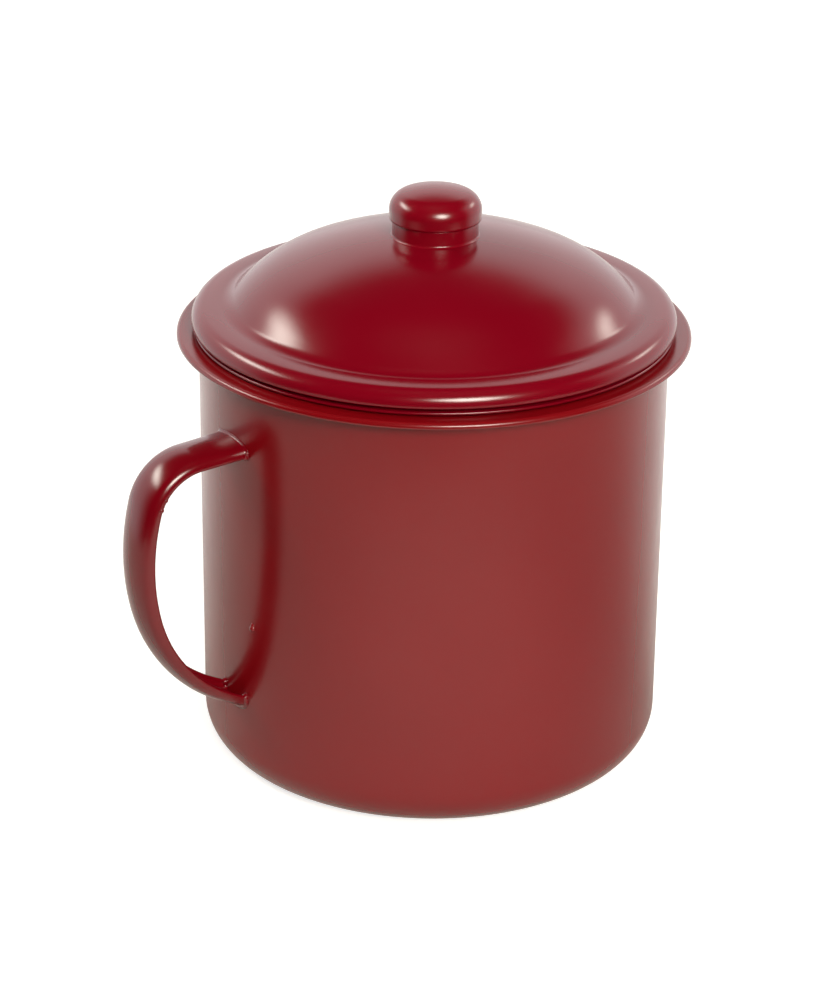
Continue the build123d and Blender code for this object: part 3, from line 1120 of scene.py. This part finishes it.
@dataclass
class Knob:
    """Hollow knob on a flared neck, held by a screw from inside the lid."""

    lid: Lid
    sheet: float = 0.6 * MM
    contact_gap: float = 0.05 * MM
    radius: float = 11.75 * MM
    lift: float = 3.5 * MM
    height: float = 8.3 * MM
    crown_radius: float = 30.1 * MM
    shoulder: float = 4.5 * MM
    edge_bend: float = 0.5 * MM
    flange: float = 0.6 * MM
    flange_gap: float = 0.15 * MM
    neck_bend: float = 0.5 * MM
    skirt_radius: float = 10.9 * MM
    foot_bend: float = 0.8 * MM
    foot_sink: float = 0.07 * MM
    screw_radius: float = 2.0 * MM
    screw_gap: float = 0.15 * MM
    head_radius: float = 3.8 * MM
    head_height: float = 2.6 * MM
    head_round: float = 1.2 * MM
    tip_inset: float = 0.5 * MM
    washer_radius: float = 6.0 * MM
    washer_thickness: float = 0.8 * MM
    washer_start: float = 1.0 * MM
    edge_break: float = 0.12 * MM
    hidden_break: float = 0.04 * MM
    cross_width: float = 1.1 * MM
    cross_span: float = 4.4 * MM
    cross_depth: float = 1.3 * MM
    cross_taper: float = 0.55
    cross_turn: float = math.radians(20)
    sharp_angle: float = math.radians(35)
    knob_segments: int = 128
    screw_segments: int = 96

    def __post_init__(self) -> None:
        """Works out the heights and radii that follow from the sizes."""
        self.half = self.sheet / 2
        self.cap_bottom = self.lid.dome_middle + self.lid.half + self.lift
        self.wall = self.radius - self.half
        self.flange_end = self.wall - self.half - self.flange_gap - self.half
        self.neck = self.flange_end - self.flange
        self.flange_height = self.cap_bottom + self.sheet + self.contact_gap + self.half
        self.washer_top = self.lid.crown_height(self.washer_radius, -self.lid.half) - self.contact_gap
        self.head_top = self.washer_top - self.washer_thickness - self.contact_gap

    def build_cap(self) -> Thing:
        """Turns the hollow cap from the top of its crown to its turned-in lower edge.

        Returns:
            The cap.
        """
        top = self.cap_bottom + self.height - self.half
        centre = top - self.crown_radius
        arm = self.crown_radius - self.shoulder
        lean = math.asin((self.wall - self.shoulder) / arm)
        shoulder = (arm * math.sin(lean), centre + arm * math.cos(lean))
        low = self.cap_bottom + self.half
        edge = self.neck + self.half + self.neck_bend + self.contact_gap
        line = SheetLine()
        line.arc((0.0, centre), self.crown_radius, math.pi / 2, math.pi / 2 - lean)
        line.arc(shoulder, self.shoulder, math.pi / 2 - lean, 0.0)
        line.path([(self.wall, shoulder[1]), (self.wall, low), (edge, low)], [self.edge_bend])
        line.points[0] = (0.0, top)
        return turn_piece("knob_pressed_cap", line.outline(self.half), self.knob_segments)

    def build_neck(self) -> Thing:
        """Turns the neck: flange inside the cap, skirt below it and a foot that runs out on the dome.

        Returns:
            The neck.
        """
        outer, inner = self.neck + self.half, self.neck - self.half
        low, high = self.flange_height - self.half, self.flange_height + self.half
        under = self.cap_bottom - self.contact_gap
        ball = self.lid.crown_radius + self.lid.half
        lean = math.asin((self.skirt_radius + self.foot_bend) / (ball + self.foot_bend))
        runout = ball * math.sin(lean)
        ground = self.lid.crown_height(runout, self.lid.half) - self.foot_sink
        centre = (self.skirt_radius + self.foot_bend, ground + self.foot_bend * math.cos(lean))
        line = SheetLine().path(
            [
                (self.flange_end, low),
                (self.flange_end, high),
                (inner, high),
                (inner, self.lid.crown_height(inner, self.lid.half) + self.contact_gap),
                (runout, ground),
            ],
            [self.edge_break, self.neck_bend + self.half, self.edge_break],
        )
        line.arc(centre, self.foot_bend, 1.5 * math.pi - lean, math.pi)
        line.path(
            [
                (self.skirt_radius, centre[1]),
                (self.skirt_radius, under),
                (outer, under),
                (outer, low),
                (self.flange_end, low),
            ],
            [self.edge_break, self.hidden_break, self.hidden_break],
        )
        return turn_piece("knob_flared_neck", np.array(line.points[:-1]), self.knob_segments)

    def build_washer(self) -> Thing:
        """Turns the washer with broken edges.

        Returns:
            The washer.
        """
        low, high = self.washer_top - self.washer_thickness, self.washer_top
        inner, outer = self.screw_radius + self.screw_gap, self.washer_radius
        start = (inner + self.washer_start, low)
        corners = [start, (outer, low), (outer, high), (inner, high), (inner, low), start]
        line = SheetLine().path(corners, [self.edge_break] * 4)
        return turn_piece("knob_flat_washer", np.array(line.points[:-1]), self.screw_segments)

    def build_screw(self) -> Thing:
        """Turns the pan-head screw and cuts the cross recess into its head.

        Returns:
            The screw.
        """
        low = self.head_top - self.head_height
        tip = self.flange_height + self.half - self.tip_inset
        line = SheetLine().path(
            [
                (0.0, low),
                (self.head_radius, low),
                (self.head_radius, self.head_top),
                (self.screw_radius, self.head_top),
                (self.screw_radius, tip),
                (0.0, tip),
            ],
            [self.head_round, self.edge_break, self.edge_break, 2 * self.edge_break],
        )
        screw = turn_piece("knob_cross_screw", np.array(line.points), self.screw_segments)
        reach, side = self.cross_span / 2, self.cross_width / 2
        quarter = [Vector((reach, -side)), Vector((reach, side)), Vector((side, side))]
        turns = [Matrix.Rotation(number * math.pi / 2 + self.cross_turn, 2) for number in range(4)]
        cross = [turn @ corner for turn in turns for corner in quarter]
        levels = ((low - self.cross_depth, 1.0), (low + self.cross_depth, self.cross_taper))
        points = [(spot.x * share, spot.y * share, height) for height, share in levels for spot in cross]
        count = len(cross)
        mouth, floor = list(range(count)), list(range(count, 2 * count))
        cutter = new_piece("cross_recess", points, [tuple(mouth), tuple(floor), *band(mouth, floor)])
        cut = screw.modifiers.new("recess", "BOOLEAN")
        cut.operation = "DIFFERENCE"
        cut.solver = "EXACT"
        cut.object = cutter
        bake_modifiers(screw).set_sharp_from_angle(angle=self.sharp_angle)
        bpy.data.objects.remove(cutter)
        return screw

    def dress(self, finishes: Finishes, insert: Thing) -> None:
        """Builds the knob and its fastening and puts them on the frame.

        Args:
            finishes: Material of each slot.
            insert: CAD node of the tapped insert, which stays and gets the steel finish.
        """
        settle(self.build_cap(), Body.LID, Slot.KNOB, finishes, "knob_cap")
        settle(self.build_neck(), Body.LID, Slot.KNOB, finishes, "knob_neck")
        settle(self.build_washer(), Body.LID, Slot.STEEL, finishes, "knob_washer")
        settle(self.build_screw(), Body.LID, Slot.STEEL, finishes, "knob_screw")
        insert.data.materials.clear()
        insert.data.materials.append(finishes[Slot.STEEL])
        LOG.info("%s: CAD node kept, with the steel finish", insert.name)


# ---- Studio ----


@dataclass(frozen=True)
class Lamp:
    """Soft box on a sphere about the mug, its azimuth counted to the right from the camera's.

    It is bright within core of its middle and fades to nothing at edge, both as shares of its sides.
    """

    name: str
    azimuth: float
    elevation: float
    width: float
    height: float
    radiance: float
    distance: float = 1.1
    mirrored: bool = True
    core: float = 0.08
    edge: float = 0.5
    face_middle: Point = (0.5, 0.5)
    colour: Colour = (1.0, 0.98, 0.87)

    def build(self, aim: Vector, camera_azimuth: float) -> None:
        """Places the lamp so that it faces the mug.

        Args:
            aim: Point that it faces.
            camera_azimuth: Azimuth of the camera.
        """
        light = bpy.data.lights.new(self.name, "AREA")
        light.shape = "RECTANGLE"
        light.size = self.width
        light.size_y = self.height
        light.color = self.colour
        # An area lamp's radiance is its energy over four times its area.
        light.energy = self.radiance * 4 * self.width * self.height
        light.use_nodes = True
        bench = NodeBench(light.node_tree)
        place = bench.add("ShaderNodeNewGeometry").outputs["Parametric"]
        span = bench.measure("DISTANCE", place, Vector((*self.face_middle, 0.0)))
        fade = bench.remap(span, self.core, self.edge, 1.0, 0.0)
        glow = bench.add("ShaderNodeEmission", {"Strength": fade})
        bench.end("ShaderNodeOutputLight", glow.outputs["Emission"])
        lamp = add_object(self.name, light)
        back = facing(camera_azimuth + self.azimuth, self.elevation)
        lamp.location = aim + back * self.distance
        lamp.rotation_euler = (-back).to_track_quat("-Z", "Y").to_euler()
        lamp.visible_camera = False
        lamp.visible_glossy = self.mirrored


@dataclass
class Studio:
    """Pale floor, pale surround with a dark ceiling, soft boxes and the camera."""

    azimuth: float = -33.6
    elevation: float = 24.506
    distance: float = 0.82127
    middle: float = 0.060
    lens: float = 112.67
    aim_right: float = -5.965 * MM
    aim_up: float = 4.844 * MM
    roll: float = 0.566
    floor_front: float = 0.31
    floor_side: float = 0.36
    floor_back: float = 5.0
    floor_sink: float = 0.05 * MM
    floor_colour: Colour = (0.56, 0.55, 0.525)
    near_glow: Colour = (1.0, 0.97, 0.82)
    far_glow: Colour = (1.0, 1.0, 1.0)
    seen_glow: float = 0.72
    pool_glow: float = 0.45
    pool_ahead: float = 0.17
    pool_right: float = 0.015
    pool_inner: float = 0.04
    pool_outer: float = 0.2
    side_glow: float = 0.06
    back_glow: float = 0.72
    back_start: float = -0.05
    back_full: float = 0.22
    tint_full: float = 0.1
    pale_below: float = 0.54
    dark_above: float = 0.74
    dark_front: float = 0.25
    surround: float = 1.25
    ceiling: float = 0.005
    lamp_aim: float = 0.09
    lamps: tuple[Lamp, ...] = (
        Lamp("left_box", -104, 36, 1.05, 0.34, 12.0),
        Lamp("right_box", 121, 27, 0.6, 0.24, 7.0),
        Lamp("front_box", 17, 28, 0.8, 0.62, 23.0),
        Lamp("top_fill", 0, 80, 1.6, 1.6, 2.4, distance=1.6, mirrored=False),
    )

    def place_camera(self) -> None:
        """Sets the camera at the photograph's viewing angle."""
        back = facing(self.azimuth, self.elevation)
        right = Vector((0.0, 0.0, 1.0)).cross(back).normalized()
        up = back.cross(right)
        middle = Vector((0.0, 0.0, self.middle))
        data = bpy.data.cameras.new("view")
        data.sensor_width = 36.0
        data.lens = self.lens
        data.clip_start = 0.01
        data.clip_end = 50.0
        camera = add_object("view", data)
        camera.location = middle + back * self.distance
        ahead = middle + right * self.aim_right + up * self.aim_up - camera.location
        roll = Matrix.Rotation(math.radians(self.roll), 3, "Z")
        camera.rotation_euler = (ahead.to_track_quat("-Z", "Y").to_matrix() @ roll).to_euler()
        bpy.context.scene.camera = camera

    def lay_floor(self) -> None:
        """Lays the pale floor, which shows as white, keeps the mug's shadow and glows when mirrored."""
        front = facing(self.azimuth, 0.0)
        right = Vector((-front.y, front.x, 0.0))
        side, near, far = right * self.floor_side, front * self.floor_front, front * -self.floor_back
        corners = [tuple(near + side), tuple(near - side), tuple(far - side), tuple(far + side)]
        floor = new_piece("floor", corners, [(0, 1, 2, 3)])
        floor.location.z = -self.floor_sink
        material, bench = NodeBench.for_material("pale_floor")
        material.cycles.emission_sampling = "NONE"
        path = bench.add("ShaderNodeLightPath").outputs
        ahead = bench.measure("DOT_PRODUCT", bench.place, -front)
        pool = bench.measure("DISTANCE", bench.place, front * self.pool_ahead + right * self.pool_right)
        pool_light = bench.remap(pool, self.pool_inner, self.pool_outer, self.pool_glow, self.side_glow)
        back_light = bench.remap(ahead, self.back_start, self.back_full, 0.0, self.back_glow)
        mirrored = bench.maths("MAXIMUM", path["Is Glossy Ray"], path["Is Transmission Ray"])
        mirrored = bench.maths("MULTIPLY", mirrored, bench.maths("MAXIMUM", pool_light, back_light))
        seen = bench.maths("MULTIPLY", path["Is Camera Ray"], self.seen_glow)
        far_off = bench.remap(ahead, self.back_start, self.tint_full, 0.0, 1.0)
        plain = bench.maths("MAXIMUM", path["Is Camera Ray"], far_off)
        paper = bench.add(
            "ShaderNodeBsdfPrincipled",
            {
                "Base Color": (*self.floor_colour, 1.0),
                "Roughness": 0.95,
                "Specular IOR Level": 0.0,
                "Emission Color": bench.mix(plain, (*self.near_glow, 1.0), (*self.far_glow, 1.0)),
                "Emission Strength": bench.maths("MAXIMUM", seen, mirrored),
            },
        )
        bench.end("ShaderNodeOutputMaterial", paper.outputs["BSDF"])
        floor.data.materials.append(material)

    def light_surround(self) -> None:
        """Makes the surround pale behind the mug to about a third of the way up and dark elsewhere."""
        world = bpy.data.worlds.new("studio")
        bpy.context.scene.world = world
        world.use_nodes = True
        bench = NodeBench(world.node_tree)
        place = bench.add("ShaderNodeTexCoord").outputs["Generated"]
        height = bench.add("ShaderNodeSeparateXYZ", {"Vector": place}).outputs["Z"]
        ahead = bench.measure("DOT_PRODUCT", place, -facing(self.azimuth, 0.0))
        low = bench.remap(height, self.pale_below, self.dark_above, self.surround, self.ceiling)
        behind = bench.remap(ahead, -self.dark_front, self.dark_front, self.ceiling, 1.0)
        path = bench.add("ShaderNodeLightPath").outputs
        seen = bench.maths("MAXIMUM", path["Is Camera Ray"], path["Is Transmission Ray"])
        level = bench.maths("MAXIMUM", bench.maths("MULTIPLY", low, behind), seen)
        sky = bench.add("ShaderNodeBackground", {"Color": (1.0, 1.0, 1.0, 1.0), "Strength": level})
        bench.end("ShaderNodeOutputWorld", sky.outputs["Background"])

    def build(self) -> None:
        """Sets up the whole studio."""
        self.place_camera()
        self.lay_floor()
        self.light_surround()
        for lamp in self.lamps:
            lamp.build(Vector((0.0, 0.0, self.lamp_aim)), self.azimuth)
        bpy.context.scene.view_settings.view_transform = "Standard"


def main() -> None:
    """Loads the frame, builds each sub-assembly on it and sets up the studio."""
    logging.basicConfig(level=logging.INFO, format="%(name)s: %(message)s")
    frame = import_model()
    finishes = make_finishes()
    cup = Cup()
    cup.dress(finishes)
    StrapHandle(cup).dress(finishes)
    lid = Lid(cup)
    lid.dress(finishes)
    Knob(lid).dress(finishes, frame["nodes"]["knob_insert"])
    Studio().build()


if __name__ == "__main__":
    main()
